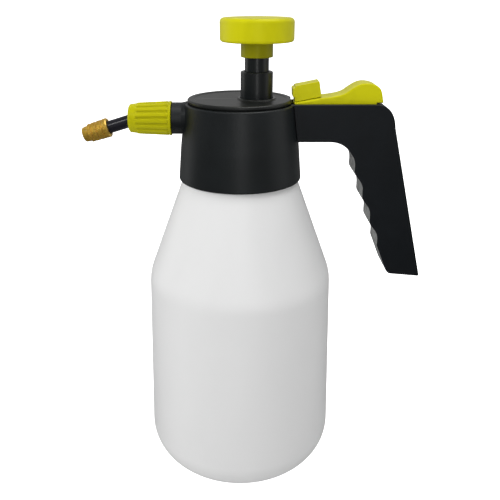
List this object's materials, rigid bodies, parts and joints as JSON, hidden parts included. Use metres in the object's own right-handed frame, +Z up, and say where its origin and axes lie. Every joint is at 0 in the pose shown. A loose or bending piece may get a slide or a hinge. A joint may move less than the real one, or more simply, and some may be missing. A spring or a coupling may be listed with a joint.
{
  "type": "pump sprayer",
  "caption": "Hand-pumped pressure sprayer: milky bottle, black screw-on pump head with pistol handle, lime pump knob, trigger and union nut, bent lance with brass nozzle.",
  "frame": {"origin": "centre of the bottle's flat base", "axes": "+Z up along the bottle; +X towards the handle, -X towards the nozzle; Y across"},
  "size_m": [0.218, 0.1248, 0.2995],
  "materials": {
    "milky_plastic": "translucent milky polyethylene, satin",
    "black_plastic": "satin moulded plastic",
    "handle_plastic": "satin moulded plastic",
    "rod_plastic": "smooth gloss plastic",
    "lance_plastic": "smooth gloss plastic",
    "lime_plastic": "yellow-green moulded plastic",
    "clear_plastic": "natural polypropylene",
    "hose_plastic": "clear flexible tube",
    "rubber_black": "black rubber",
    "steel": "stainless steel",
    "brass": "turned brass"
  },
  "bodies": {
    "bottle": {"bottle": "milky_plastic"},
    "gasket": {"neck_gasket": "rubber_black"},
    "head": {"head_housing": "black_plastic", "top_cap": "black_plastic", "handle": "handle_plastic", "pump_guide": "black_plastic", "pump_cylinder": "clear_plastic", "cylinder_gasket": "rubber_black", "check_valve": "rubber_black", "lever_pin": "steel", "valve_body": "black_plastic", "inlet_hose": "hose_plastic", "outlet_hose": "hose_plastic", "dip_tube_elbow": "black_plastic", "dip_tube": "hose_plastic", "strainer": "black_plastic", "valve_spring": "steel"},
    "piston_seal": {"piston_oring": "rubber_black"},
    "plunger": {"pump_knob": "lime_plastic", "pump_rod": "rod_plastic", "piston": "rod_plastic"},
    "trigger": {"trigger_lever": "lime_plastic"},
    "lock": {"trigger_lock": "lime_plastic"},
    "stem": {"valve_stem": "clear_plastic", "stem_oring_lower": "rubber_black", "stem_oring_upper": "rubber_black"},
    "lance_seat": {"lance_washer": "rubber_black"},
    "nut": {"union_nut": "lime_plastic"},
    "lance": {"lance": "lance_plastic", "nozzle_core": "brass", "nozzle_oring": "rubber_black"},
    "nozzle": {"nozzle_cap": "brass"}
  },
  "joints": [
    {"name": "gasket_lift", "type": "slide", "parent": "bottle", "child": "gasket", "axis": [0, 0, 1], "range_m": [0, 0.0061]},
    {"name": "head_turn", "type": "hinge", "parent": "gasket", "child": "head", "pos_m": [0, 0, 0.22], "axis": [0, 0, 1], "range_deg": [0, 540]},
    {"name": "pump_stroke", "type": "slide", "parent": "head", "child": "piston_seal", "axis": [0, 0, 1], "range_m": [-0.0081, 0.085]},
    {"name": "knob_turn", "type": "hinge", "parent": "piston_seal", "child": "plunger", "pos_m": [0.0103, 0, 0.25], "axis": [0, 0, 1], "continuous": true},
    {"name": "trigger_press", "type": "hinge", "parent": "head", "child": "trigger", "pos_m": [0.0795, 0, 0.2425], "axis": [0, -1, 0], "range_deg": [0, 4], "stiffness_Nm_per_rad": 6, "springref_deg": -2.86},
    {"name": "lock_slide", "type": "slide", "parent": "trigger", "child": "lock", "axis": [0.9806, 0, 0.1959], "range_m": [0, 0.003]},
    {"name": "stem_travel", "type": "slide", "parent": "head", "child": "stem", "axis": [0, 0, 1], "range_m": [-0.0026, 0], "deforming": ["valve_spring"]},
    {"name": "seat_travel", "type": "slide", "parent": "head", "child": "lance_seat", "axis": [-1, 0, 0], "range_m": [0, 0.00205]},
    {"name": "nut_turn", "type": "hinge", "parent": "lance_seat", "child": "nut", "pos_m": [-0.056, 0, 0.2384], "axis": [-1, 0, 0], "range_deg": [0, 360]},
    {"name": "lance_swivel", "type": "hinge", "parent": "lance_seat", "child": "lance", "pos_m": [-0.0637, 0, 0.2384], "axis": [-1, 0, 0], "continuous": true},
    {"name": "nozzle_turn", "type": "hinge", "parent": "lance", "child": "nozzle", "pos_m": [-0.0637, 0, 0.2384], "axis": [-0.9553, 0, -0.2957], "range_deg": [-180, 180]}
  ],
  "couplings": [
    {"joint": "gasket_lift", "follows": "head_turn", "m_per_rad": 0.00063662},
    {"joint": "stem_travel", "follows": "trigger_press", "m_per_rad": -0.0355},
    {"joint": "seat_travel", "follows": "nut_turn", "m_per_rad": 0.00031831}
  ]
}
